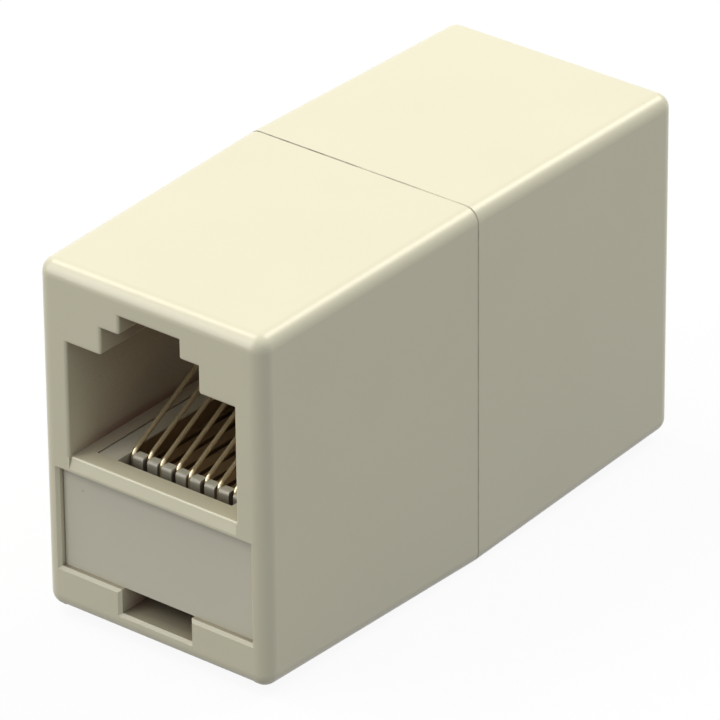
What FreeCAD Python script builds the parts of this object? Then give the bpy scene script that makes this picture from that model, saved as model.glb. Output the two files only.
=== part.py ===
"""In-line coupler that joins two eight-contact modular plugs end to end.

Two identical ABS half shells meet at a seam in the middle, the rear one being the front one
turned half a turn about the vertical axis. Each half holds a contact carrier pushed in from the
seam, eight formed wire contacts, and eight crimp sleeves. Eight insulated leads join each contact
to the one of the same number in the other half.

Frame: X across, Y along the coupler with the front mouth at -Y, Z up. The origin lies under the
seam, at the middle of the footprint. All lengths are in millimetres, all angles in degrees.
Inside one half, "depth" is the distance behind that half's mouth.
"""
import FreeCAD, Part
import os
import re

import Sketcher

Vector = FreeCAD.Vector

CONTACTS = 8

# name: (value, meaning)
SIZES = {
    # outer shell
    "half_length": (18.65, "mouth plane to seam plane"),
    "seam_width": (16.4, "outer width at the seam"),
    "seam_high": (22.7, "top at the seam"),
    "mouth_width": (15.9, "outer width at the mouth, smaller by the draft"),
    "mouth_low": (0.43, "underside at the mouth"),
    "mouth_high": (22.38, "top at the mouth"),
    "land_length": (2.0, "level stretch of the underside beside the seam"),
    "edge_radius": (0.9, "all outer edges but those of the seam"),
    "seam_bevel": (0.06, "bevel of both halves along the seam"),
    "relief_height": (0.35, "raised strip under the front edge, above the underside"),
    "relief_depth": (1.5, "how far back that strip runs"),
    "relief_width": (13.75, "its width, which leaves a foot at each corner"),
    # plug socket
    "socket_width": (11.9, "clear width for the plug body"),
    "socket_floor": (10.5, "top of the sill and the side ledges"),
    "socket_ceiling": (17.75, "underside of the shoulders"),
    "socket_depth": (13.2, "mouth to the rear of the back wall"),
    "latch_width": (6.92, "slot for the plug's latch"),
    "latch_ceiling": (19.45, "underside of the keeper ledges"),
    "key_width": (4.26, "narrow slot between the keeper ledges"),
    "key_ceiling": (20.62, "top of the narrow slot and the latch space"),
    "keeper_depth": (1.6, "thickness of the keeper ledges"),
    "rim_radius": (0.18, "edges of the socket mouth and the shoulders"),
    # sill and carrier window
    "sill_depth": (1.4, "sill bar, front to back"),
    "sill_slope": (0.16, "how far the sill's face leans back"),
    "sill_bevel": (0.08, "upper edge of that face"),
    "window_width": (13.68, "carrier window and compartment"),
    "window_low": (3.2, "compartment floor"),
    "window_high": (9.63, "underside of the sill bar and ledges"),
    "window_bevel": (0.18, "front edges of the window and the channel"),
    "comb_width": (10.2, "gap between the side ledges"),
    "channel_width": (5.0, "cored channel in the floor, open at the mouth"),
    "channel_floor": (1.7, "bottom of that channel"),
    "chamber_high": (20.6, "ceiling of the lead chamber"),
    # joint of the two halves
    "tongue_thickness": (0.55, "tongue along one side wall"),
    "tongue_length": (0.9, "how far it reaches past the seam"),
    "tongue_low": (4.5, "lower end"),
    "tongue_high": (18.5, "upper end"),
    "fit_gap": (0.05, "clearance of every sliding fit"),
    # contact carrier
    "face_recess": (0.45, "carrier face behind the mouth plane"),
    "comb_level": (10.43, "top of the comb teeth and of the carrier beside them"),
    "tooth_depth": (2.45, "front of the comb teeth"),
    "tooth_length": (0.6, "comb teeth, front to back"),
    "tooth_radius": (0.2, "rounded upper front edge of each tooth"),
    "end_tooth": (0.7, "tooth beyond the slot of the last contact"),
    "trough_width": (7.9, "trough under the contact arms"),
    "rib_level": (9.2, "top of the ribs between the wire grooves"),
    "back_wall": (1.0, "thickness of the slotted wall"),
    "guide_margin": (0.45, "slot height above the end of the contact arm"),
    # contacts
    "contact_pitch": (1.02, "spacing across the socket"),
    "wire_diameter": (0.28, "contact wire and lead conductor, over the section's corners"),
    "slot_gap": (0.015, "clearance beside the wire in its slot"),
    "run_level": (8.7, "axis of the contact's lower run"),
    "front_depth": (2.69, "axis of the contact's upright front, behind the mouth"),
    "front_stagger": (0.17, "extra depth of every second front"),
    "bend_radius": (0.6, "bends below and above the front, to the wire's axis"),
    "bend_level": (10.11, "centre of the bend above the front"),
    "arm_angle": (28.0, "rise of the spring arm"),
    "arm_depth": (12.95, "free end of the arm behind the mouth"),
    "tail_bend": (0.6, "bend up into the crimp, to the wire's axis"),
    "riser_offset": (2.3, "crimps and risers from the seam plane"),
    # crimp sleeves and leads
    "sleeve_standoff": (0.45, "sleeve above the carrier's rear part"),
    "sleeve_length": (1.4, "crimp sleeve"),
    "lead_gap": (0.12, "between neighbouring leads, and between neighbouring sleeves"),
    "lead_start": (0.1, "straight riser of the lowest lead"),
}

doc = FreeCAD.newDocument("InlineCoupler")
sheet = doc.addObject("Spreadsheet::Sheet", "Sizes")
for row, (name, (value, meaning)) in enumerate(SIZES.items(), start=1):
    sheet.set(f"A{row}", name)
    sheet.set(f"B{row}", str(value))
    sheet.set(f"C{row}", meaning)
    sheet.setAlias(f"B{row}", name)
doc.recompute()


# ---------------------------------------------------------------- helpers

def sized(text):
    """An expression in which every sheet name is written out as Sizes.name."""
    def full(word):
        return "Sizes." + word.group() if word.group() in SIZES else word.group()
    return re.sub(r"[a-z_]+", full, text)


def size(text):
    """The value of an expression of sheet names."""
    return float(sheet.evalExpression(sized(text)))


def bind(feature, prop, text):
    feature.setExpression(prop, sized(text))


def new_body(label, across="0", turned=False):
    """A body placed across the coupler, and turned half round for the rear half."""
    body = doc.addObject("PartDesign::Body", label)
    body.Label = label
    body.Placement = FreeCAD.Placement(Vector(), FreeCAD.Rotation(Vector(0, 0, 1), 180 if turned else 0))
    bind(body, "Placement.Base.x", f"-({across})" if turned else across)
    return body


def sketch_on(body, plane, name, offset="0"):
    """A sketch on one of the body's origin planes, moved along the plane's normal.

    The normals are -Y for XZ_Plane, +X for YZ_Plane and +Z for XY_Plane.
    """
    sketch = body.newObject("Sketcher::SketchObject", f"{body.Label}_{name}")
    role = {feature.Role: feature for feature in body.Origin.OriginFeatures}
    sketch.AttachmentSupport = (role[plane], [""])
    sketch.MapMode = "FlatFace"
    bind(sketch, "AttachmentOffset.Base.z", offset)
    return sketch


RADIAN = FreeCAD.Units.Quantity("1 deg").getValueAs("rad").Value


def arc_between(centre, radius, start, end):
    """An arc that runs counter-clockwise between two angles in degrees."""
    return Part.ArcOfCircle(Part.Circle(centre, Vector(0, 0, 1), radius), start * RADIAN, end * RADIAN)


def pin(sketch, shape, vertex, across, along):
    """Holds one point of a sketch at a place given by two expressions."""
    for kind, text in (("DistanceX", across), ("DistanceY", along)):
        point = sketch.getPoint(shape, vertex)
        start = point.x if kind == "DistanceX" else point.y
        index = sketch.addConstraint(Sketcher.Constraint(kind, -1, 1, shape, vertex, start))
        bind(sketch, f"Constraints[{index}]", text)


def value_constraint(sketch, text, *terms):
    index = sketch.addConstraint(Sketcher.Constraint(*terms))
    bind(sketch, f"Constraints[{index}]", text)


def outline(sketch, corners):
    """A closed outline of straight sides through corners given as expression pairs."""
    count = len(corners)
    points = [Vector(size(across), size(along), 0) for across, along in corners]
    for index in range(count):
        sketch.addGeometry(Part.LineSegment(points[index], points[(index + 1) % count]))
    for index in range(count):
        sketch.addConstraint(Sketcher.Constraint("Coincident", index, 2, (index + 1) % count, 1))
    for index, (across, along) in enumerate(corners):
        pin(sketch, index, 1, across, along)


def rectangle(sketch, left, right, low, high):
    outline(sketch, [(left, low), (right, low), (right, high), (left, high)])


def centred(sketch, width, low, high):
    """A rectangle of the given width about the sketch's own vertical axis."""
    rectangle(sketch, f"-({width}) / 2", f"({width}) / 2", low, high)


def grow(body, sketch, length, backward=False):
    """Pads a sketch along its normal, or against it."""
    pad = body.newObject("PartDesign::Pad", sketch.Name + "_pad")
    pad.Profile = sketch
    pad.Reversed = backward
    bind(pad, "Length", length)
    sketch.Visibility = False
    doc.recompute()
    return pad


def cut(body, sketch, length, along_normal=False, both_ways=False):
    """Pockets a sketch against its normal, along it, or to both sides by half the length."""
    before = body.Shape.Volume
    pocket = body.newObject("PartDesign::Pocket", sketch.Name + "_cut")
    pocket.Profile = sketch
    pocket.Reversed = along_normal
    pocket.Midplane = both_ways
    bind(pocket, "Length", length)
    sketch.Visibility = False
    doc.recompute()
    if body.Shape.Volume > before - 1e-4:
        raise RuntimeError(f"{pocket.Name} removes nothing")
    return pocket


def soften(body, kind, prop, amount, chosen):
    """Fillets or chamfers every edge of the body that the test accepts."""
    base = body.Tip
    names = [f"Edge{index}" for index, edge in enumerate(base.Shape.Edges, start=1) if chosen(edge)]
    if not names:
        raise RuntimeError(f"{body.Label}: no edge to soften by {amount}")
    feature = body.newObject(kind, f"{body.Label}_{amount}")
    feature.Base = (base, names)
    bind(feature, prop, amount)
    doc.recompute()
    return feature


def near(value, target, slack=1e-3):
    return abs(value - target) < slack


def lies_at_y(edge, place):
    return near(edge.BoundBox.YMin, place) and near(edge.BoundBox.YMax, place)


# ---------------------------------------------------------------- half shell

def plug_outline(sketch, inset):
    """The stepped section of the plug's space: body, latch slot, and key slot above it."""
    steps = [("socket_width", "socket_floor", "socket_ceiling"),
             ("latch_width", f"socket_ceiling - {inset}", "latch_ceiling"),
             ("key_width", f"latch_ceiling - {inset}", "key_ceiling")]
    right = []
    for width, low, high in steps:
        right.append((f"{width} / 2 - {inset}", low))
        right.append((f"{width} / 2 - {inset}", f"{high} - {inset}"))
    left = [(f"-({across})", along) for across, along in reversed(right)]
    outline(sketch, right + left)


def housing(label, turned):
    """One half shell, open at the seam, with the plug socket moulded in its front."""
    body = new_body(label, turned=turned)

    # Outer form: walls that draw in toward the mouth, all their outer edges rounded alike.
    draft = body.newObject("PartDesign::AdditiveWedge", f"{label}_draft")
    for prop, text in (("Ymin", "-half_length"), ("Ymax", "0"),
                       ("Xmin", "-mouth_width / 2"), ("Xmax", "mouth_width / 2"),
                       ("X2min", "-seam_width / 2"), ("X2max", "seam_width / 2"),
                       ("Zmin", "mouth_low"), ("Zmax", "mouth_high"),
                       ("Z2min", "-mouth_low * land_length / (half_length - land_length)"),
                       ("Z2max", "seam_high")):
        bind(draft, prop, text)
    doc.recompute()
    mouth = -size("half_length")
    soften(body, "PartDesign::Fillet", "Radius", "edge_radius", lambda edge: not lies_at_y(edge, 0))
    soften(body, "PartDesign::Chamfer", "Size", "seam_bevel", lambda edge: lies_at_y(edge, 0))

    # The underside is cut level beside the seam, so that the coupler stands on a flat land.
    land = sketch_on(body, "XZ_Plane", "land")
    centred(land, "seam_width", "-edge_radius", "0")
    cut(body, land, "half_length", along_normal=True)

    # Carrier compartment from mouth to seam, the channel under it, and the chamber behind.
    window = sketch_on(body, "XZ_Plane", "window", "half_length")
    centred(window, "window_width", "window_low", "window_high")
    cut(body, window, "half_length")
    channel = sketch_on(body, "XZ_Plane", "channel", "half_length")
    centred(channel, "channel_width", "channel_floor", "window_low + fit_gap")
    cut(body, channel, "half_length")
    chamber = sketch_on(body, "XZ_Plane", "chamber")
    centred(chamber, "window_width", "window_low", "chamber_high")
    cut(body, chamber, "half_length - socket_depth", along_normal=True)
    gap = sketch_on(body, "XZ_Plane", "comb_gap")
    centred(gap, "comb_width", "window_high - fit_gap", "socket_floor + fit_gap")
    cut(body, gap, "half_length - sill_depth", along_normal=True)

    # Plug socket: the stepped opening, and the latch space behind the keeper ledges.
    socket = sketch_on(body, "XZ_Plane", "socket", "half_length")
    plug_outline(socket, "0")
    cut(body, socket, "socket_depth")
    latch = sketch_on(body, "XZ_Plane", "latch_space", "half_length - keeper_depth")
    centred(latch, "latch_width", "latch_ceiling - fit_gap", "key_ceiling")
    cut(body, latch, "socket_depth - keeper_depth")

    # Rounded rim and shoulders, all but the sill's own edge.
    def is_rim(edge):
        box = edge.BoundBox
        inside = box.XMax < size("socket_width") / 2 + 0.01 and -box.XMin < size("socket_width") / 2 + 0.01
        above = box.ZMax > size("socket_floor") + 0.01 and box.ZMin > size("socket_floor") - 0.01
        if lies_at_y(edge, mouth):
            return inside and above and box.ZMax < size("key_ceiling") + 0.01
        shoulder = near(box.ZMin, size("socket_ceiling")) and near(abs(box.Center.x), size("latch_width") / 2)
        keeper = near(box.ZMin, size("latch_ceiling")) and near(abs(box.Center.x), size("key_width") / 2)
        return near(box.YMin, mouth) and box.YLength > size("keeper_depth") / 2 and (shoulder or keeper)
    soften(body, "PartDesign::Fillet", "Radius", "rim_radius", is_rim)

    # The sill's face leans back to a small bevel, as a lead-in for the plug.
    slope = sketch_on(body, "YZ_Plane", "sill_slope")
    outline(slope, [("-half_length - fit_gap", "window_high + sill_slope"),
                    ("-half_length", "window_high + sill_slope"),
                    ("-half_length + sill_slope", "socket_floor - sill_bevel"),
                    ("-half_length + sill_slope + sill_bevel", "socket_floor"),
                    ("-half_length + sill_slope + sill_bevel", "socket_floor + fit_gap"),
                    ("-half_length - fit_gap", "socket_floor + fit_gap")])
    cut(body, slope, "socket_width", both_ways=True)

    # A strip of the underside behind the front edge is raised between the two corners.
    relief = sketch_on(body, "XZ_Plane", "relief", "half_length")
    centred(relief, "relief_width", "-relief_height", "mouth_low + relief_height")
    cut(body, relief, "relief_depth")

    # Small bevel round the front of the window and the channel.
    def is_window(edge):
        box = edge.BoundBox
        low = near(box.ZMin, size("window_low")) or near(box.ZMin, size("channel_floor"))
        wall = near(box.XLength, 0) or near(box.ZLength, 0)
        return lies_at_y(edge, mouth) and low and wall
    soften(body, "PartDesign::Chamfer", "Size", "window_bevel", is_window)

    # One side wall carries a tongue, the other the rebate for the tongue of its twin.
    tongue = sketch_on(body, "XZ_Plane", "tongue")
    rectangle(tongue, "window_width / 2", "window_width / 2 + tongue_thickness", "tongue_low", "tongue_high")
    grow(body, tongue, "tongue_length", backward=True)
    rebate = sketch_on(body, "XZ_Plane", "rebate")
    rectangle(rebate, "-window_width / 2 - tongue_thickness - fit_gap", "-window_width / 2 + fit_gap",
              "tongue_low - fit_gap", "tongue_high + fit_gap")
    cut(body, rebate, "tongue_length + fit_gap", along_normal=True)
    return body


# ---------------------------------------------------------------- contact carrier

def contact_x(number):
    """Expression for a contact's place across the socket."""
    return f"{number - (CONTACTS + 1) / 2} * contact_pitch"


def carrier(label, turned):
    """The moulded block that holds the contacts: face, comb, trough, grooves and slotted wall."""
    body = new_body(label, turned=turned)
    block = sketch_on(body, "XZ_Plane", "block", "fit_gap")
    centred(block, "window_width - 2 * fit_gap", "window_low", "window_high - fit_gap")
    grow(body, block, "half_length - face_recess - fit_gap")
    raised = sketch_on(body, "XZ_Plane", "raised", "half_length - socket_depth")
    centred(raised, "comb_width - 2 * fit_gap", "window_low", "socket_floor")
    grow(body, raised, "socket_depth - sill_depth")
    wall = sketch_on(body, "XZ_Plane", "back_wall", "half_length - socket_depth")
    plug_outline(wall, "fit_gap")
    grow(body, wall, "back_wall")
    half_slot = "(wire_diameter / 2 + slot_gap)"

    # The raised part lies a little below the sill. Clear space before and behind the comb teeth
    # leaves only the teeth standing between them.
    lowered = sketch_on(body, "XZ_Plane", "lowered", "half_length - sill_depth")
    centred(lowered, "comb_width", "comb_level", "socket_floor + fit_gap")
    cut(body, lowered, "socket_depth - back_wall - sill_depth")
    front = sketch_on(body, "XZ_Plane", "front_trough", "half_length - tooth_depth")
    comb_end = f"{(CONTACTS - 1) / 2} * contact_pitch + {half_slot}"
    rectangle(front, f"-({comb_end})", f"{comb_end} + end_tooth", "rib_level", "comb_level + fit_gap")
    cut(body, front, "tooth_depth - sill_depth", along_normal=True)
    trough = sketch_on(body, "XZ_Plane", "trough", "half_length - tooth_depth - tooth_length")
    centred(trough, "trough_width", "rib_level", "comb_level + fit_gap")
    cut(body, trough, "socket_depth - back_wall - tooth_depth - tooth_length")

    # One cut per contact makes its comb slot, its groove and its guide slot in the back wall.
    groove = sketch_on(body, "XZ_Plane", "groove", "half_length - tooth_depth")
    arm_run = "(arm_depth - front_depth - bend_radius * (1 - sin(arm_angle * 1deg)))"
    arm_end = f"bend_level + bend_radius * cos(arm_angle * 1deg) + {arm_run} * tan(arm_angle * 1deg)"
    rectangle(groove, f"{contact_x(1)} - {half_slot}", f"{contact_x(1)} + {half_slot}",
              "run_level - wire_diameter / 2", f"{arm_end} + guide_margin")
    first = cut(body, groove, f"half_length - tooth_depth - riser_offset + {half_slot}")
    slots = body.newObject("PartDesign::LinearPattern", f"{label}_slots")
    slots.Originals = [first]
    slots.Direction = (groove, ["H_Axis"])
    bind(slots, "Length", f"{CONTACTS - 1} * contact_pitch")
    slots.Occurrences = CONTACTS
    body.Tip = slots
    doc.recompute()

    tooth_y = size("tooth_depth") - size("half_length")
    soften(body, "PartDesign::Fillet", "Radius", "tooth_radius",
           lambda edge: (lies_at_y(edge, tooth_y) and near(edge.BoundBox.ZMin, size("comb_level"))
                         and near(edge.BoundBox.ZMax, size("comb_level"))))
    return body


# ---------------------------------------------------------------- contacts

SWEEP_SLACK = 0.005
# Round wires and leads are drawn with few sides, their corners on the round outline.
WIRE_SIDES = 4
LEAD_SIDES = 6


def sweep(body, profile, spine):
    """Sweeps a section along a path, and compares the volume with section times length."""
    pipe = body.newObject("PartDesign::AdditivePipe", f"{body.Label}_sweep")
    pipe.Profile = profile
    pipe.Spine = spine
    profile.Visibility = False
    spine.Visibility = False
    doc.recompute()
    expected = Part.Face(profile.Shape.Wires[0]).Area * spine.Shape.Length
    if not near(pipe.Shape.Volume, expected, SWEEP_SLACK * expected):
        raise RuntimeError(f"{body.Label}: swept {pipe.Shape.Volume:.4f} mm3, not {expected:.4f}")
    radii = [f"{edge.Curve.Radius:.2f}" for edge in spine.Shape.Edges if hasattr(edge.Curve, "Radius")]
    print(f"{body.Label:22s} path {spine.Shape.Length:6.2f} mm, bend radii {', '.join(radii)} mm, "
          f"volume {pipe.Shape.Volume:.4f} of {expected:.4f} mm3")
    return pipe


def ring(sketch, count, across, along, diameter, turn="0deg"):
    """A regular outline with its corners on a circle, the first one at the given angle."""
    angles = [f"({360 / count * corner} * 1deg + {turn})" for corner in range(count)]
    outline(sketch, [(f"{across} + {diameter} / 2 * cos({angle})", f"{along} + {diameter} / 2 * sin({angle})")
                     for angle in angles])


SLEEVE_LOW = "(window_high + sleeve_standoff)"


def contact(label, number, turned):
    """A formed wire: crimp tail, lower run, upright front at the comb, and rising spring arm."""
    body = new_body(label, contact_x(number), turned)
    front_y = "(-half_length + front_depth" + (" + front_stagger)" if number % 2 == 0 else ")")
    tail_top = f"{SLEEVE_LOW} + sleeve_length / 2"

    run, bend, tail, slope = size("run_level"), size("bend_radius"), size("tail_bend"), size("arm_angle")
    riser, front, top = -size("riser_offset"), size(front_y), size("bend_level")
    heel_centre = Vector(front + bend, run + bend, 0)
    crown_centre = Vector(front + bend, top, 0)
    rise = FreeCAD.Rotation(Vector(0, 0, 1), slope)
    arm_start = crown_centre + rise.multVec(Vector(0, bend, 0))
    arm_end = arm_start + rise.multVec(Vector(size("arm_depth") - size("front_depth"), 0, 0))

    path = sketch_on(body, "YZ_Plane", "path")
    riser_line, tail_arc, run_line, heel, front_line, crown, arm = range(7)
    path.addGeometry(Part.LineSegment(Vector(riser, run + 2 * tail, 0), Vector(riser, run + tail, 0)))
    path.addGeometry(arc_between(Vector(riser - tail, run + tail, 0), tail, -90, 0))
    path.addGeometry(Part.LineSegment(Vector(riser - tail, run, 0), Vector(front + bend, run, 0)))
    path.addGeometry(arc_between(heel_centre, bend, 180, 270))
    path.addGeometry(Part.LineSegment(Vector(front, run + bend, 0), Vector(front, top, 0)))
    path.addGeometry(arc_between(crown_centre, bend, 90 + slope, 180))
    path.addGeometry(Part.LineSegment(arm_start, arm_end))
    for first, second in (((riser_line, 2), (tail_arc, 2)), ((tail_arc, 1), (run_line, 1)),
                          ((run_line, 2), (heel, 2)), ((heel, 1), (front_line, 1)),
                          ((front_line, 2), (crown, 2)), ((crown, 1), (arm, 1))):
        path.addConstraint(Sketcher.Constraint("Tangent", *first, *second))
    pin(path, riser_line, 1, "-riser_offset", tail_top)
    path.addConstraint(Sketcher.Constraint("Vertical", riser_line))
    path.addConstraint(Sketcher.Constraint("Horizontal", run_line))
    path.addConstraint(Sketcher.Constraint("Vertical", front_line))
    for arc, name, radius in ((tail_arc, "tail_bend", tail), (heel, "bend_radius", bend),
                              (crown, "bend_radius", bend)):
        value_constraint(path, name, "Radius", arc, radius)
    value_constraint(path, "run_level", "DistanceY", -1, 1, run_line, 2, run)
    pin(path, crown, 3, f"{front_y} + bend_radius", "bend_level")
    value_constraint(path, "arm_angle * 1deg", "Angle", arm, slope * RADIAN)
    value_constraint(path, "-half_length + arm_depth", "DistanceX", -1, 1, arm, 2, arm_end.x)

    section = sketch_on(body, "XY_Plane", "section", tail_top)
    ring(section, WIRE_SIDES, "0", "-riser_offset", "wire_diameter")
    sweep(body, section, path)
    return body


# ---------------------------------------------------------------- crimps and leads

LEAD_FOOT = f"({SLEEVE_LOW} + sleeve_length)"
LEAD_WIDTH = "(contact_pitch - lead_gap)"
# From one crossing lead up to the next, and the bends as wide as the chamber's height allows.
LEAD_STEP = f"({LEAD_WIDTH} + fit_gap)"
LEAD_TOP = f"(chamber_high - fit_gap - {LEAD_WIDTH} / 2)"
LEAD_ROOM = f"({LEAD_TOP} - {CONTACTS - 1} * {LEAD_STEP} - {LEAD_FOOT} - lead_start)"
LEAD_BEND = f"min({LEAD_ROOM}; riser_offset - fit_gap)"


def crimp_sleeves(label, turned):
    """Eight separate sleeves pressed to a hexagon, one standing on each contact's tail."""
    sleeves = []
    forms = (("outer", LEAD_WIDTH, LEAD_SIDES), ("bore", "wire_diameter", WIRE_SIDES))
    for number in range(1, CONTACTS + 1):
        rods = []
        for part, diameter, sides in forms:
            rod = doc.addObject("Part::Prism", f"{label}_{part}_{number}")
            rod.Polygon = sides
            bind(rod, "Circumradius", f"{diameter} / 2")
            bind(rod, "Height", "sleeve_length")
            bind(rod, "Placement.Base.x", contact_x(number))
            bind(rod, "Placement.Base.y", "-riser_offset")
            bind(rod, "Placement.Base.z", SLEEVE_LOW)
            rods.append(rod)
        sleeve = doc.addObject("Part::Cut", f"{label}_{number}")
        sleeve.Base, sleeve.Tool = rods
        sleeves.append(sleeve)
    group = doc.addObject("Part::Compound", label)
    group.Label = label
    group.Links = sleeves
    group.Placement = FreeCAD.Placement(Vector(), FreeCAD.Rotation(Vector(0, 0, 1), 180 if turned else 0))
    doc.recompute()
    return group


def lead_order(number):
    """Crossing height, counted from the lowest: inner leads pass below outer ones."""
    middle = (CONTACTS + 1) / 2
    return int(2 * abs(number - middle) - 1 + (number > middle))


def lead(label, number):
    """An arch from a front crimp to the rear crimp of the same number, across the seam.

    The arch is drawn in the body's own XZ plane, and the body is turned about Z until its feet
    stand on the two crimps.
    """
    body = doc.addObject("PartDesign::Body", label)
    body.Label = label
    across = f"({contact_x(number)})"
    body.Placement = FreeCAD.Placement(Vector(), FreeCAD.Rotation(Vector(0, 0, 1), 10))
    bind(body, "Placement.Rotation.Angle", f"atan2(riser_offset; -{across})")

    half_span = f"sqrt(pow({across}; 2) + pow(riser_offset; 2))"
    level = f"{LEAD_FOOT} + lead_start + {LEAD_BEND} + {lead_order(number)} * {LEAD_STEP}"
    span, bend, low, high = size(half_span), size(LEAD_BEND), size(LEAD_FOOT), size(level)

    path = sketch_on(body, "XZ_Plane", "path")
    near_riser, near_bend, crossing, far_bend, far_riser = range(5)
    path.addGeometry(Part.LineSegment(Vector(-span, low, 0), Vector(-span, high - bend, 0)))
    path.addGeometry(arc_between(Vector(bend - span, high - bend, 0), bend, 90, 180))
    path.addGeometry(Part.LineSegment(Vector(bend - span, high, 0), Vector(span - bend, high, 0)))
    path.addGeometry(arc_between(Vector(span - bend, high - bend, 0), bend, 0, 90))
    path.addGeometry(Part.LineSegment(Vector(span, high - bend, 0), Vector(span, low, 0)))
    for first, second in (((near_riser, 2), (near_bend, 2)), ((near_bend, 1), (crossing, 1)),
                          ((crossing, 2), (far_bend, 2)), ((far_bend, 1), (far_riser, 1))):
        path.addConstraint(Sketcher.Constraint("Tangent", *first, *second))
    pin(path, near_riser, 1, f"-{half_span}", LEAD_FOOT)
    pin(path, far_riser, 2, half_span, LEAD_FOOT)
    path.addConstraint(Sketcher.Constraint("Vertical", near_riser))
    path.addConstraint(Sketcher.Constraint("Vertical", far_riser))
    value_constraint(path, LEAD_BEND, "Radius", near_bend, bend)
    value_constraint(path, LEAD_BEND, "Radius", far_bend, bend)
    value_constraint(path, level, "DistanceY", -1, 1, crossing, 1, high)

    section = sketch_on(body, "XY_Plane", "section", LEAD_FOOT)
    ring(section, LEAD_SIDES, f"-{half_span}", "0", LEAD_WIDTH)
    sweep(body, section, path)
    # The bared conductors are turned back to lie flat against the bores of their sleeves.
    for side, name in (("-", "core_front"), ("", "core_rear")):
        core = sketch_on(body, "XY_Plane", name, LEAD_FOOT)
        ring(core, WIRE_SIDES, f"{side}{half_span}", "0", "wire_diameter", f"-atan2(riser_offset; -{across})")
        grow(body, core, "sleeve_length / 2", backward=True)
    return body


# ---------------------------------------------------------------- build and export

parts = []
for end, turned in (("front", False), ("rear", True)):
    parts.append(housing(f"{end}_housing", turned))
    parts.append(carrier(f"{end}_carrier", turned))
    for number in range(1, CONTACTS + 1):
        parts.append(contact(f"{end}_contact_{number}", number, turned))
    parts.append(crimp_sleeves(f"{end}_crimp_sleeves", turned))
for number in range(1, CONTACTS + 1):
    parts.append(lead(f"lead_{number}", number))

doc.recompute()
for item in doc.Objects:
    if {"Invalid", "Error"} & set(item.State):
        raise RuntimeError(f"{item.Name} failed: {item.State}")

os.makedirs("parts", exist_ok=True)
for part in parts:
    shape = part.Shape
    if shape.isNull() or not shape.isValid():
        raise RuntimeError(f"{part.Label} has no valid shape")
    shape.exportStep(f"parts/{part.Label}.step")
    box = shape.BoundBox
    print(f"{part.Label:22s} {len(shape.Solids)} solid(s) {shape.Volume:9.3f} mm3  "
          f"x {box.XMin:7.2f} {box.XMax:6.2f}  y {box.YMin:7.2f} {box.YMax:6.2f}  "
          f"z {box.ZMin:6.2f} {box.ZMax:6.2f}")
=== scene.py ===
# %% [markdown]
# # An in-line coupler for network leads
#
# This notebook dresses a finished CAD model: a small ivory coupler that joins two network patch
# leads end to end. The solids come in as a fixed frame, and everything here is added round them:
# a camera, a pale studio, and one material for each real finish.
#
# The object is small, so lengths are written in millimetres and turned to metres by one constant.

import math

import bpy
from mathutils import Matrix, Vector


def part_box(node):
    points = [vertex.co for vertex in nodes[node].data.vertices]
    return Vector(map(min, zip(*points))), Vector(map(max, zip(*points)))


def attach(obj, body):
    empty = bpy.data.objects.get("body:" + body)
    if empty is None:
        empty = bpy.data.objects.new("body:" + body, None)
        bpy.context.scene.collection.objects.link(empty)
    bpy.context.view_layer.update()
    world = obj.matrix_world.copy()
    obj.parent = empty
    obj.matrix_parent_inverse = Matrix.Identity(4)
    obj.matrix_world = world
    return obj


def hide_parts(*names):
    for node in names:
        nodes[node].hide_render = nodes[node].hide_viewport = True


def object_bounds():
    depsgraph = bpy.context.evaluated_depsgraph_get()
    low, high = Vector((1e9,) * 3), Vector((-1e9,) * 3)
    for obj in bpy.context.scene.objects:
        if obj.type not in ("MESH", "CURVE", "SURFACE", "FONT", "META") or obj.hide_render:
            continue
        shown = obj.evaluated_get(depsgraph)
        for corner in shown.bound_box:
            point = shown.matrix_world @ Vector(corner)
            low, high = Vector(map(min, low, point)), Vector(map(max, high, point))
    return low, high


MM = 0.001

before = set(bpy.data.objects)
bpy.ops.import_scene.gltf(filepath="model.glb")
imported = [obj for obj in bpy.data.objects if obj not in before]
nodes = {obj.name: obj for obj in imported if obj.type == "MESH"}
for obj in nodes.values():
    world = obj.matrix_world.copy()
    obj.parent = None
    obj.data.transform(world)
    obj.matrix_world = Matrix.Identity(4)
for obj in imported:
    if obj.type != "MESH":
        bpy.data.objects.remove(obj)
cad_low, cad_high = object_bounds()
print("solids:", len(nodes), "size in mm:", [round(side / MM, 2) for side in cad_high - cad_low])

# %% [markdown]
# ## The camera
#
# A product picture of a small part is taken from well back with a long lens, so that parallel
# edges stay nearly parallel. A camera could be aimed with a Track To constraint. Here its three
# axes are worked out instead, because the view also leans by half a degree.

# %% Place the camera
AZIMUTH, ELEVATION, ROLL = 38.660, 29.017, -0.508
CAMERA_AT = Vector((224.37, -280.77, 209.85)) * MM
SENSOR, LENS = 36.0, 363.78
NEAREST_SEEN = 10 * MM

azimuth, elevation, roll = (math.radians(angle) for angle in (AZIMUTH, ELEVATION, ROLL))
back = Vector((math.sin(azimuth) * math.cos(elevation),
               -math.cos(azimuth) * math.cos(elevation),
               math.sin(elevation)))
level = Vector((math.cos(azimuth), math.sin(azimuth), 0))
upright = back.cross(level)
right = math.cos(roll) * level + math.sin(roll) * upright
up = math.cos(roll) * upright - math.sin(roll) * level
turned = Matrix((right, up, back)).transposed().to_4x4()

camera_data = bpy.data.cameras.new("camera")
camera_data.sensor_width = SENSOR
camera_data.lens = LENS
camera_data.clip_start = NEAREST_SEEN
camera = bpy.data.objects.new("camera", camera_data)
camera.matrix_world = Matrix.Translation(CAMERA_AT) @ turned
bpy.context.scene.collection.objects.link(camera)
bpy.context.scene.camera = camera
print("camera to object, mm:", round(CAMERA_AT.length / MM))

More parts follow.
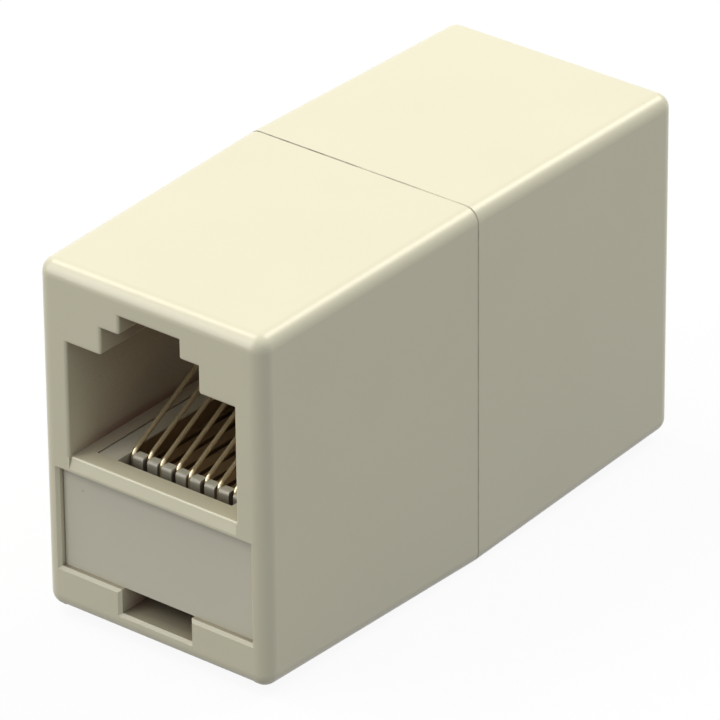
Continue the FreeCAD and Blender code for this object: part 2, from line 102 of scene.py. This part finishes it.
# %% [markdown]
# ## Colours and nodes
#
# Colours are picked as they look on a screen, in sRGB hex. Blender computes with linear light, so
# one function turns them. A second small function adds a node, sets its values and links its
# inputs in one call, which keeps each material short enough to read.

# %% Helpers for every material


def linear(hex_colour):
    """An sRGB hex colour as linear RGBA."""
    channels = [int(hex_colour[start:start + 2], 16) / 255 for start in (0, 2, 4)]
    return [c / 12.92 if c <= 0.04045 else ((c + 0.055) / 1.055) ** 2.4 for c in channels] + [1.0]


def add_node(tree, kind, inputs=None, **settings):
    """Adds a node. An input is given a value, or the socket that it is linked from."""
    node = tree.nodes.new("ShaderNode" + kind)
    for name, value in settings.items():
        setattr(node, name, value)
    for name, value in (inputs or {}).items():
        if isinstance(value, bpy.types.NodeSocket):
            tree.links.new(value, node.inputs[name])
        else:
            node.inputs[name].default_value = value
    return node


def new_material(name):
    """An empty node material and its tree."""
    material = bpy.data.materials.new(name)
    material.use_nodes = True
    material.node_tree.nodes.clear()
    return material, material.node_tree


print("mid grey in linear light:", round(linear("808080")[0], 3))

# %% [markdown]
# ## The studio
#
# The coupler lies on a pale table under three softboxes, which are large square lamps: one high on
# the left, one behind and a weaker one in front. They make the top the brightest face and draw a
# fine highlight along the rounded edges. A single sun lamp would be shorter to write, but its
# edges are hard. The walls of the room fill the sides.
#
# The table and the room look white by a light of their own that only the camera and reflections
# see. To all other light the table is a matt grey and the room is dimmer, so neither throws extra
# light on the plastic, and the table still takes the shadow.

# %% Light that is only seen


def seen_share(tree):
    """1 for what the camera sees, straight or by way of gloss or glass, and 0 for other light."""
    path = add_node(tree, "LightPath")
    seen = add_node(tree, "Math", {0: path.outputs["Is Camera Ray"],
                                   1: path.outputs["Is Glossy Ray"]}, operation="MAXIMUM")
    seen = add_node(tree, "Math", {0: seen.outputs[0],
                                   1: path.outputs["Is Transmission Ray"]}, operation="MAXIMUM")
    return seen.outputs[0]


print("table and room are white where they are seen, and plain to all other light")

# %% Table
TABLE_SIZE = 3000 * MM
GLOW_SHARE = 0.92

table_material, tree = new_material("pale_table")
matt = add_node(tree, "BsdfDiffuse", {"Color": linear("6E6C68")})
pale = add_node(tree, "BsdfDiffuse", {"Color": linear("F4F4F4")})
glow = add_node(tree, "Emission", {"Color": linear("FFFFFF"), "Strength": 1.0})
lifted = add_node(tree, "MixShader", {0: GLOW_SHARE, 1: pale.outputs[0], 2: glow.outputs[0]})
surface = add_node(tree, "MixShader", {0: seen_share(tree), 1: matt.outputs[0],
                                       2: lifted.outputs[0]})
add_node(tree, "OutputMaterial", {"Surface": surface.outputs[0]})

half = TABLE_SIZE / 2
corners = [(-half, -half, 0), (half, -half, 0), (half, half, 0), (-half, half, 0)]
mesh = bpy.data.meshes.new("table")
mesh.from_pydata(corners, [], [(0, 1, 2, 3)])
table = bpy.data.objects.new("table", mesh)
table.data.materials.append(table_material)
table.location.z = cad_low.z
bpy.context.scene.collection.objects.link(table)
print("table", TABLE_SIZE / MM, "mm square")

# %% Room
ROOM_LIGHT = 0.575

room = bpy.data.worlds.new("room")
room.use_nodes = True
tree = room.node_tree
tree.nodes.clear()
strength = add_node(tree, "MapRange", {"Value": seen_share(tree), "To Min": ROOM_LIGHT,
                                       "To Max": 1.0})
walls = add_node(tree, "Background", {"Color": linear("F2F6FF"), "Strength": strength.outputs[0]})
add_node(tree, "OutputWorld", {"Surface": walls.outputs[0]})
bpy.context.scene.world = room
print("room light:", ROOM_LIGHT)

# %% [markdown]
# ## Lamps
#
# The softboxes are about 0.3 m wide and 0.7 m off, which gives the rounded edges a highlight that
# is narrow but soft. Small bent wires need something of their own to reflect, so a white card
# stands low in front of them. A lit white plane could be that card, but it would brighten the
# plastic too. Here it is a lamp with its light on matt surfaces turned off.

# %% Softboxes and a white card
COUPLER_MIDDLE = Vector((0, 0, 11)) * MM
WARM_WHITE, PURE_WHITE = "FFFCEE", "FFFFFF"


def softbox(name, place, size, power, colour):
    """A square area lamp that looks at the middle of the coupler. All lengths in millimetres."""
    lamp = bpy.data.lights.new(name, "AREA")
    lamp.size = size * MM
    lamp.energy = power
    lamp.color = linear(colour)[:3]
    holder = bpy.data.objects.new(name, lamp)
    holder.location = Vector(place) * MM
    aim = COUPLER_MIDDLE - holder.location
    holder.rotation_euler = aim.to_track_quat("-Z", "Y").to_euler()
    bpy.context.scene.collection.objects.link(holder)
    print(name, "at", place, "mm,", power, "W")
    return holder


softbox("softbox_left", (-370, -60, 610), size=300, power=1.7, colour=WARM_WHITE)
softbox("softbox_back", (110, 474, 500), size=300, power=1.75, colour=WARM_WHITE)
softbox("softbox_front", (-250, -370, 470), size=240, power=0.76, colour=WARM_WHITE)
white_card = softbox("white_card", (-420, -525, 185), size=600, power=3.0, colour=PURE_WHITE)
white_card.visible_diffuse = False

# %% [markdown]
# ## Ivory ABS: the plastic
#
# The shells are injection-moulded ABS, coloured ivory right through. To the eye that is one even
# colour, with faint clouding where the melt flowed and here and there a tiny dark speck from the
# pellets. Noise makes the clouds, at a size given in millimetres. A Voronoi pattern makes the
# specks, because each of its cells has a centre and a random number that says whether that cell
# holds one.

# %% Clouds and specks
CLOUD_SIZE = 7 * MM
SPECK_SPACING = 3.2 * MM
SPECK_RADIUS = 0.028 * SPECK_SPACING
SPECKED_CELLS, SPECK_SHARE = 0.35, 0.22
SPECK_BROWN = "7A6E58"

# A Mix node for colours has its share and its two colours at these inputs, and this output.
SHARE, UNDER, OVER, MIXED = 0, 6, 7, 2


def flowed_plastic(tree, place, colour, cloud_colour):
    """The plastic's own colour: two close tones in clouds, and a few faint specks."""
    clouds = add_node(tree, "TexNoise", {"Vector": place, "Scale": 1 / CLOUD_SIZE, "Detail": 2.0})
    tone = add_node(tree, "Mix", {SHARE: clouds.outputs[0], UNDER: linear(colour),
                                  OVER: linear(cloud_colour)}, data_type="RGBA")
    specks = add_node(tree, "TexVoronoi", {"Vector": place, "Scale": 1 / SPECK_SPACING})
    near = add_node(tree, "Math", {0: specks.outputs["Distance"],
                                   1: SPECK_RADIUS / SPECK_SPACING}, operation="LESS_THAN")
    picked = add_node(tree, "SeparateColor", {"Color": specks.outputs["Color"]})
    chosen = add_node(tree, "Math", {0: picked.outputs[0], 1: SPECKED_CELLS},
                      operation="LESS_THAN")
    speck = add_node(tree, "Math", {0: near.outputs[0], 1: chosen.outputs[0]},
                     operation="MULTIPLY")
    faint = add_node(tree, "Math", {0: speck.outputs[0], 1: SPECK_SHARE}, operation="MULTIPLY")
    specked = add_node(tree, "Mix", {SHARE: faint.outputs[0], UNDER: tone.outputs[MIXED],
                                     OVER: linear(SPECK_BROWN)}, data_type="RGBA")
    return specked.outputs[MIXED]


print("clouds of", CLOUD_SIZE / MM, "mm, specks of", round(SPECK_RADIUS / MM, 2), "mm radius")

# %% [markdown]
# ## Ivory ABS: where a spot is
#
# The material paints shade into a coupler's sockets and recesses, so it is paler on its outside
# than
# inside, and each recess has its own share of that shade. So the material first asks where a spot
# is:
# above the socket's floor or below it, how far it faces up, and how far it lies from the seam
# between the halves. The Geometry node gives the position and the normal, and Map Range nodes turn
# them into shares from 0 to 1. A separate material for each wall would do it too, but its borders
# would be hard.

# %% Place of a spot on the coupler
SOCKET_FLOOR_FROM, SOCKET_FLOOR_TO = 10.3 * MM, 10.4 * MM
FACES_UP_FROM, FACES_UP_TO = 0.3, 0.9


def where_it_is(tree):
    """Sockets for the place of a spot: shares for high and facing up, lengths for the others."""
    surface = add_node(tree, "NewGeometry")
    spot = add_node(tree, "SeparateXYZ", {0: surface.outputs["Position"]})
    facing = add_node(tree, "SeparateXYZ", {0: surface.outputs["Normal"]})
    high = add_node(tree, "MapRange", {"Value": spot.outputs["Z"], "From Min": SOCKET_FLOOR_FROM,
                                       "From Max": SOCKET_FLOOR_TO})
    upward = add_node(tree, "MapRange", {"Value": facing.outputs["Z"],
                                         "From Min": FACES_UP_FROM, "From Max": FACES_UP_TO})
    off_seam = add_node(tree, "Math", {0: spot.outputs["Y"]}, operation="ABSOLUTE")
    return {"high": high.outputs[0], "upward": upward.outputs[0],
            "off_seam": off_seam.outputs[0], "across": spot.outputs["X"]}


print("socket floor, mm:", SOCKET_FLOOR_FROM / MM)

# %% [markdown]
# ## Ivory ABS: painted shade in deep recesses
#
# Light that finds its way into a deep socket and out again has met the plastic many times, and
# each time it loses some of its blue, so a recess looks dark and brown. Light bounces in the
# render as well, but only a few times, so the rest is painted shade: the Ambient Occlusion node
# says how much open sky a spot sees, and a brown shade is mixed into the colour where that is
# little.
# The socket's floor and the walls near the mouth take less of this painted shade, because light
# falls straight on them.

# %% Painted shade of deep recesses
CLOSED_SKY, DEEPEST_SHARE = 0.2, 0.9
FLOOR_PART = 0.3
MOUTH_FROM, MOUTH_TO, MOUTH_PART = 16.0 * MM, 18.6 * MM, 0.45
SKY_SAMPLES = 8


def recess_shade_share(tree, where, reach, alone, open_from):
    """How much painted recess shade a spot takes. Walls count when they are nearer than reach mm.
    """
    open_sky = add_node(tree, "AmbientOcclusion", {"Distance": reach * MM},
                        samples=SKY_SAMPLES, only_local=alone)
    deep = add_node(tree, "MapRange", {"Value": open_sky.outputs["AO"], "From Min": CLOSED_SKY,
                                       "From Max": open_from, "To Min": DEEPEST_SHARE,
                                       "To Max": 0.0})
    floor = add_node(tree, "Math", {0: where["high"], 1: where["upward"]}, operation="MULTIPLY")
    kept = add_node(tree, "MapRange", {"Value": floor.outputs[0], "To Min": 1.0,
                                       "To Max": FLOOR_PART})
    deep = add_node(tree, "Math", {0: deep.outputs[0], 1: kept.outputs[0]}, operation="MULTIPLY")
    entry = add_node(tree, "MapRange", {"Value": where["off_seam"], "From Min": MOUTH_FROM,
                                        "From Max": MOUTH_TO, "To Min": 1.0,
                                        "To Max": MOUTH_PART})
    deep = add_node(tree, "Math", {0: deep.outputs[0], 1: entry.outputs[0]}, operation="MULTIPLY")
    return deep.outputs[0]


print("deepest share of brown:", DEEPEST_SHARE)

# %% [markdown]
# ## Ivory ABS: painted shade on ledges and in corners, and the bond line
#
# Shade is painted on the low faces that look up, and over the whole of the carrier's trough behind
# the comb, where the space under the arms is dark. Shade is also painted into inner corners and
# along the edges by the table, which an Ambient Occlusion node finds when it looks only a
# millimetre far. The halves are bonded, and the adhesive shows in the seam as a dark line that is
# fuller on one side and patchy along its length. The solids have the groove itself, so colour is
# all that it needs.

# %% Painted shade on low ledges and in the trough


def painted_low_shade(tree, where, clean, low_shade_colour, low_shade_share, trough_shade_to):
    """The clean colour with painted shade below the socket's floor: on faces that look up, and on
    all faces nearer the seam than a given length in mm.
    """
    low = add_node(tree, "MapRange", {"Value": where["high"], "To Min": low_shade_share,
                                      "To Max": 0.0})
    behind = add_node(tree, "Math", {0: where["off_seam"], 1: trough_shade_to * MM},
                      operation="LESS_THAN")
    taking = add_node(tree, "Math", {0: where["upward"], 1: behind.outputs[0]},
                      operation="MAXIMUM")
    low_shade_amount = add_node(tree, "Math", {0: low.outputs[0], 1: taking.outputs[0]},
                       operation="MULTIPLY")
    low_shaded = add_node(tree, "Mix", {SHARE: low_shade_amount.outputs[0], UNDER: clean,
                                   OVER: linear(low_shade_colour)}, data_type="RGBA")
    return low_shaded.outputs[MIXED]


# The shade that is painted on low ledges lies below this level.
print("dust lies below", SOCKET_FLOOR_TO / MM, "mm")

# %% Painted shade in the inner corners
CORNER_REACH = 1 * MM
CORNER_SHUT, CORNER_OPEN = 0.3, 0.93
CORNER_SHADE_BROWN = "4C4030"


def corner_shaded(tree, on_seam, clean, corner_shade_share):
    """The colour with painted shade in inner corners and by the table, but not in the seam, which
    has its own line.
    """
    close_sky = add_node(tree, "AmbientOcclusion", {"Distance": CORNER_REACH},
                         samples=SKY_SAMPLES)
    crease = add_node(tree, "MapRange", {"Value": close_sky.outputs["AO"],
                                         "From Min": CORNER_SHUT, "From Max": CORNER_OPEN,
                                         "To Min": corner_shade_share, "To Max": 0.0})
    beside = add_node(tree, "Math", {0: crease.outputs[0], 1: on_seam}, operation="SUBTRACT",
                      use_clamp=True)
    creased = add_node(tree, "Mix", {SHARE: beside.outputs[0], UNDER: clean,
                                     OVER: linear(CORNER_SHADE_BROWN)}, data_type="RGBA")
    return creased.outputs[MIXED]


print("corners are looked for within", CORNER_REACH / MM, "mm")

# %% Bond line
LINE_EDGE, LINE_END = 0.05 * MM, 0.075 * MM
LINE_REACH, FULL_SIDE, THIN_SIDE = 8 * MM, 1.1, 0.35
PATCH_SIZE, PATCH_PART = 1.6 * MM, 0.5
PATCH_FROM, PATCH_TO = 0.35, 0.6
BOND_BROWN = "4A3F2E"


def seam_share(tree, where):
    """1 in the seam between the halves, and 0 beside it."""
    on_seam = add_node(tree, "MapRange", {"Value": where["off_seam"], "From Min": LINE_EDGE,
                                          "From Max": LINE_END, "To Min": 1.0, "To Max": 0.0})
    return on_seam.outputs[0]


def bonded(tree, where, place, on_seam, clean):
    """The colour with the dark line of adhesive in the seam."""
    fullness = add_node(tree, "MapRange", {"Value": where["across"], "From Min": -LINE_REACH,
                                           "From Max": LINE_REACH, "To Min": FULL_SIDE,
                                           "To Max": THIN_SIDE})
    gaps = add_node(tree, "TexNoise", {"Vector": place, "Scale": 1 / PATCH_SIZE, "Detail": 1.0})
    patchy = add_node(tree, "MapRange", {"Value": gaps.outputs[0], "From Min": PATCH_FROM,
                                         "From Max": PATCH_TO, "To Min": PATCH_PART,
                                         "To Max": 1.0})
    seam = add_node(tree, "Math", {0: on_seam, 1: fullness.outputs[0]}, operation="MULTIPLY")
    seam = add_node(tree, "Math", {0: seam.outputs[0], 1: patchy.outputs[0]},
                    operation="MULTIPLY", use_clamp=True)
    lined = add_node(tree, "Mix", {SHARE: seam.outputs[0], UNDER: clean,
                                   OVER: linear(BOND_BROWN)}, data_type="RGBA")
    return lined.outputs[MIXED]


print("bond line", 2 * LINE_EDGE / MM, "mm wide")

# %% [markdown]
# ## Ivory ABS: the skin
#
# A polished steel mould leaves a satin gloss with a very fine grain and slow, shallow waves where
# the plastic shrank. To the eye that is a soft highlight with slightly uneven borders. The real
# grain is a few hundredths of a millimetre, too fine to show, so it is drawn coarser. Noise
# drives both the roughness and a Bump node, because grain changes the two together.

# %% Satin skin from the mould
GRAIN_SIZE, GRAIN_HEIGHT = 0.16 * MM, 0.004 * MM
WAVE_SIZE, WAVE_HEIGHT = 5 * MM, 0.02 * MM
SMOOTHER, ROUGHER = 0.04, 0.06
BUMP_STRENGTH = 0.5
ABS_IOR = 1.54


def satin_skin(tree, place, colour, gloss):
    """The shader of moulded ABS: a colour under a satin surface with fine grain."""
    grain = add_node(tree, "TexNoise", {"Vector": place, "Scale": 1 / GRAIN_SIZE, "Detail": 3.0})
    rough = add_node(tree, "MapRange", {"Value": grain.outputs[0], "To Min": gloss - SMOOTHER,
                                        "To Max": gloss + ROUGHER})
    waves = add_node(tree, "TexNoise", {"Vector": place, "Scale": 1 / WAVE_SIZE, "Detail": 1.0})
    wavy = add_node(tree, "Bump", {"Height": waves.outputs[0], "Distance": WAVE_HEIGHT,
                                   "Strength": BUMP_STRENGTH})
    bump = add_node(tree, "Bump", {"Height": grain.outputs[0], "Distance": GRAIN_HEIGHT,
                                   "Strength": BUMP_STRENGTH, "Normal": wavy.outputs[0]})
    skin = add_node(tree, "BsdfPrincipled", {"Base Color": colour, "IOR": ABS_IOR,
                                             "Roughness": rough.outputs[0],
                                             "Normal": bump.outputs[0]})
    return skin.outputs[0]


print("grain of", GRAIN_SIZE / MM, "mm")

# %% [markdown]
# ## Two kinds of moulded ABS
#
# The shells and the contact carriers are moulded apart. The carriers are a little greyer and less
# glossy. A shell's recesses are wide, so for its painted recess shade it looks 14 mm far for its
# own walls, and that painted shade is reddish brown. A carrier sits inside its shell, so the walls
# of the shell count as well, and a reach of 5 mm is enough to find the slots and the trough. One
# function makes both materials, because they differ in numbers alone.

# %% Shell and carrier ABS


def moulded_abs(name, colour, cloud_colour, recess_shade_colour, low_shade_colour, low_shade_share, trough_shade_to,
                gloss, reach, alone, open_from, corner_shade_share):
    """Moulded ABS: each layer is laid over the one before, from the plastic to the bond line."""
    material, tree = new_material(name)
    place = add_node(tree, "TexCoord").outputs["Object"]
    where = where_it_is(tree)
    on_seam = seam_share(tree, where)
    plain = flowed_plastic(tree, place, colour, cloud_colour)
    # Painted shade on low faces that look up and, in the carrier, over the trough.
    low_shaded = painted_low_shade(tree, where, plain, low_shade_colour, low_shade_share, trough_shade_to)
    # Painted shade in the inner corners and along the edges by the table.
    creased = corner_shaded(tree, on_seam, low_shaded, corner_shade_share)
    # Painted shade of the deep recesses, mixed into the colour on the next line.
    deep = recess_shade_share(tree, where, reach, alone, open_from)
    shaded = add_node(tree, "Mix", {SHARE: deep, UNDER: creased, OVER: linear(recess_shade_colour)},
                      data_type="RGBA")
    lined = bonded(tree, where, place, on_seam, shaded.outputs[MIXED])
    add_node(tree, "OutputMaterial", {"Surface": satin_skin(tree, place, lined, gloss)})
    print(name, "made")
    return material


shell_abs = moulded_abs("ivory_abs", colour="E8E2C6", cloud_colour="E4DEC1",
                        recess_shade_colour="743828", low_shade_colour="6A6450", low_shade_share=0.62,
                        trough_shade_to=0, gloss=0.30, reach=14, alone=True, open_from=0.72,
                        corner_shade_share=0.25)
carrier_abs = moulded_abs("ivory_abs_carrier", colour="E2DDC9", cloud_colour="DED9C4",
                          recess_shade_colour="4C3C28", low_shade_colour="84612E", low_shade_share=0.9,
                          trough_shade_to=15.6, gloss=0.36, reach=5, alone=False, open_from=0.38,
                          corner_shade_share=0.15)

# %% [markdown]
# ## Gold on bronze wire
#
# The contacts are spring wire of phosphor bronze with a thin gold plate, and the crimp sleeves are
# copper with a tin plate. Drawing the wire through a die leaves streaks along it, finer than can
# be seen here, so they are drawn a little coarse. To the eye the wire is pale gold and bright, but
# not a mirror: the plate is thin over drawn metal and plugs have rubbed it. A higher roughness
# alone would leave it dark, because in a deep socket metal has little to reflect. So it is made
# partly matt by a metallic value below 1, which keeps the arms light.

# %% Plated wire
STREAK_SIZE, STREAK_HEIGHT = 0.12 * MM, 0.003 * MM
BRIGHTER, DULLER = 0.05, 0.08
PLATED_METALLIC = 0.65


def plated_wire(name, colour, deep_colour, gloss):
    """Plated metal with fine streaks from drawing, and partly matt."""
    material, tree = new_material(name)
    place = add_node(tree, "TexCoord").outputs["Object"]
    streaks = add_node(tree, "TexNoise", {"Vector": place, "Scale": 1 / STREAK_SIZE,
                                          "Detail": 3.0})
    tone = add_node(tree, "Mix", {SHARE: streaks.outputs[0], UNDER: linear(colour),
                                  OVER: linear(deep_colour)}, data_type="RGBA")
    rough = add_node(tree, "MapRange", {"Value": streaks.outputs[0], "To Min": gloss - BRIGHTER,
                                        "To Max": gloss + DULLER})
    bump = add_node(tree, "Bump", {"Height": streaks.outputs[0], "Distance": STREAK_HEIGHT,
                                   "Strength": BUMP_STRENGTH})
    metal = add_node(tree, "BsdfPrincipled", {"Base Color": tone.outputs[MIXED],
                                              "Metallic": PLATED_METALLIC,
                                              "Roughness": rough.outputs[0],
                                              "Normal": bump.outputs[0]})
    add_node(tree, "OutputMaterial", {"Surface": metal.outputs[0]})
    print(name, "made")
    return material


gold_wire = plated_wire("gold_plated_bronze", "F8E8C2", "ECD8AE", gloss=0.19)
tin_sleeve = plated_wire("tinned_copper", "C9C8C4", "AFAEA9", gloss=0.30)

# %% [markdown]
# ## PVC leads
#
# Inside, eight leads join the contacts of one socket to those of the other. Each has insulation of
# soft PVC in its own colour, extruded over the copper. It is slightly glossy with a faint
# orange-peel skin, which a noise of 0.3 mm gives. The shells hide them, so nothing finer is needed.

# %% Lead colours
LEAD_COLOURS = ("E6E4DC", "E0782A", "26262A", "B82A26", "2F8A4A", "E6C93A", "2C63B0", "7A4B2C")
PEEL_SIZE, PEEL_HEIGHT = 0.3 * MM, 0.006 * MM
PVC_SMOOTHEST, PVC_ROUGHEST = 0.34, 0.46
PVC_IOR = 1.53


def extruded_pvc(name, colour):
    """Extruded insulation: plain colour, satin, with a faint orange-peel skin."""
    material, tree = new_material(name)
    place = add_node(tree, "TexCoord").outputs["Object"]
    peel = add_node(tree, "TexNoise", {"Vector": place, "Scale": 1 / PEEL_SIZE, "Detail": 2.0})
    rough = add_node(tree, "MapRange", {"Value": peel.outputs[0], "To Min": PVC_SMOOTHEST,
                                        "To Max": PVC_ROUGHEST})
    bump = add_node(tree, "Bump", {"Height": peel.outputs[0], "Distance": PEEL_HEIGHT,
                                   "Strength": BUMP_STRENGTH})
    skin = add_node(tree, "BsdfPrincipled", {"Base Color": linear(colour), "IOR": PVC_IOR,
                                             "Roughness": rough.outputs[0],
                                             "Normal": bump.outputs[0]})
    add_node(tree, "OutputMaterial", {"Surface": skin.outputs[0]})
    return material


lead_pvc = [extruded_pvc(f"pvc_lead_{number}", colour)
            for number, colour in enumerate(LEAD_COLOURS, start=1)]
print(len(lead_pvc), "lead colours")

# %% [markdown]
# ## Dress the solids
#
# Each solid's name says which real piece it is, so the name picks its material. A table of names
# would do as well, but it would have to be kept in step with the solids.

# %% Give each solid its material
for name, node in nodes.items():
    if "housing" in name:
        finish = shell_abs
    elif "carrier" in name:
        finish = carrier_abs
    elif "contact" in name:
        finish = gold_wire
    elif "sleeves" in name:
        finish = tin_sleeve
    else:
        finish = lead_pvc[int(name[-1]) - 1]
    node.data.materials.clear()
    node.data.materials.append(finish)
print("dressed", len(nodes), "solids")

# %% [markdown]
# ## Round contact wires
#
# The solids draw each contact with four flat sides, which is enough for a robot that handles the
# part. The real contact is a round spring wire: it rises out of the comb, turns over a tight bend
# and runs up to the back wall. A Bezier curve with a round bevel is the short way to a wire like
# that, because it stays smooth at every bend. Each bend is a circular arc, so it gets two points
# with handles of the length that makes a cubic curve follow a circle.

# %% Path of a contact
# Sizes are in millimetres and match the solids. A depth is measured in from the mouth, and a level
# up from the table. Every second contact stands a little deeper, so that the crowns alternate.
WIRE_WIDTH = 0.28
SEAM_DEPTH = 18.65
FRONT_DEPTH, FRONT_STAGGER = 2.69, 0.17
RUN_LEVEL, BEND_LEVEL, BEND_RADIUS = 8.7, 10.11, 0.6
ARM_ANGLE, ARM_DEPTH = math.radians(28), 12.95
TAIL_OFFSET, TAIL_TOP, TAIL_BEND = 2.3, 10.78, 0.6


def wire_corners(front_depth):
    """Corners of a contact's path as (depth, level, bend radius), from its tail to its free end."""
    crown_depth = front_depth + BEND_RADIUS * (1 - math.sin(ARM_ANGLE))
    crown_level = BEND_LEVEL + BEND_RADIUS * math.cos(ARM_ANGLE)
    slope = math.tan(ARM_ANGLE)
    tail_depth = SEAM_DEPTH - TAIL_OFFSET
    return [(tail_depth, TAIL_TOP, 0),
            (tail_depth, RUN_LEVEL, TAIL_BEND),
            (front_depth, RUN_LEVEL, BEND_RADIUS),
            (front_depth, crown_level - slope * (crown_depth - front_depth), BEND_RADIUS),
            (ARM_DEPTH, crown_level + slope * (ARM_DEPTH - crown_depth), 0)]


def arc_points(corners, place):
    """Bezier points (position, left handle, right handle) of straight runs joined by arcs."""
    spots = [place(depth, level) for depth, level, _ in corners]
    points = []
    for index, (spot, (_, _, radius)) in enumerate(zip(spots, corners)):
        before = (spot - spots[index - 1]).normalized() if index else None
        after = (spots[index + 1] - spot).normalized() if index < len(spots) - 1 else None
        if before is None or after is None:
            along = (before or after) * WIRE_WIDTH * MM
            points.append((spot, spot - along, spot + along))
            continue
        turn = before.angle(after)
        reach = radius * MM * math.tan(turn / 2)
        handle = radius * MM * 4 / 3 * math.tan(turn / 4)
        start, end = spot - before * reach, spot + after * reach
        points.append((start, start - before * handle, start + before * handle))
        points.append((end, end - after * handle, end + after * handle))
    return points


print("contact path has", len(wire_corners(FRONT_DEPTH)), "corners")

# %% A round wire along a path
ROUND_STEPS, BEND_STEPS = 5, 8


def round_wire(name, points, width, finish):
    """A smooth curve of round section through Bezier points."""
    data = bpy.data.curves.new(name, "CURVE")
    data.dimensions = "3D"
    data.bevel_depth = width / 2 * MM
    data.bevel_resolution = ROUND_STEPS
    data.resolution_u = BEND_STEPS
    data.use_fill_caps = True
    spline = data.splines.new("BEZIER")
    spline.bezier_points.add(len(points) - 1)
    for point, (spot, left, right_handle) in zip(spline.bezier_points, points):
        point.handle_left_type = point.handle_right_type = "FREE"
        point.co, point.handle_left, point.handle_right = spot, left, right_handle
    data.materials.append(finish)
    wire = bpy.data.objects.new(name, data)
    bpy.context.scene.collection.objects.link(wire)
    return wire


def dress_contact(name):
    """Replaces one contact solid by its round wire, in the same half of the coupler."""
    low, high = (Vector(corner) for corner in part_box(name))
    across = (low.x + high.x) / 2
    side = 1 if name.startswith("rear") else -1
    number = int(name[-1])
    front_depth = FRONT_DEPTH + (FRONT_STAGGER if number % 2 == 0 else 0)

    def place(depth, level):
        return Vector((across, side * (SEAM_DEPTH - depth) * MM, level * MM))

    points = arc_points(wire_corners(front_depth), place)
    wire = round_wire(name + "_wire", points, WIRE_WIDTH, gold_wire)
    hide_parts(name)
    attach(wire, "root")


contacts = sorted(name for name in nodes if "contact" in name)
for name in contacts:
    dress_contact(name)
print("round wires:", len(contacts))

# %% The last call: the view transform
bpy.context.scene.view_settings.view_transform = "Standard"
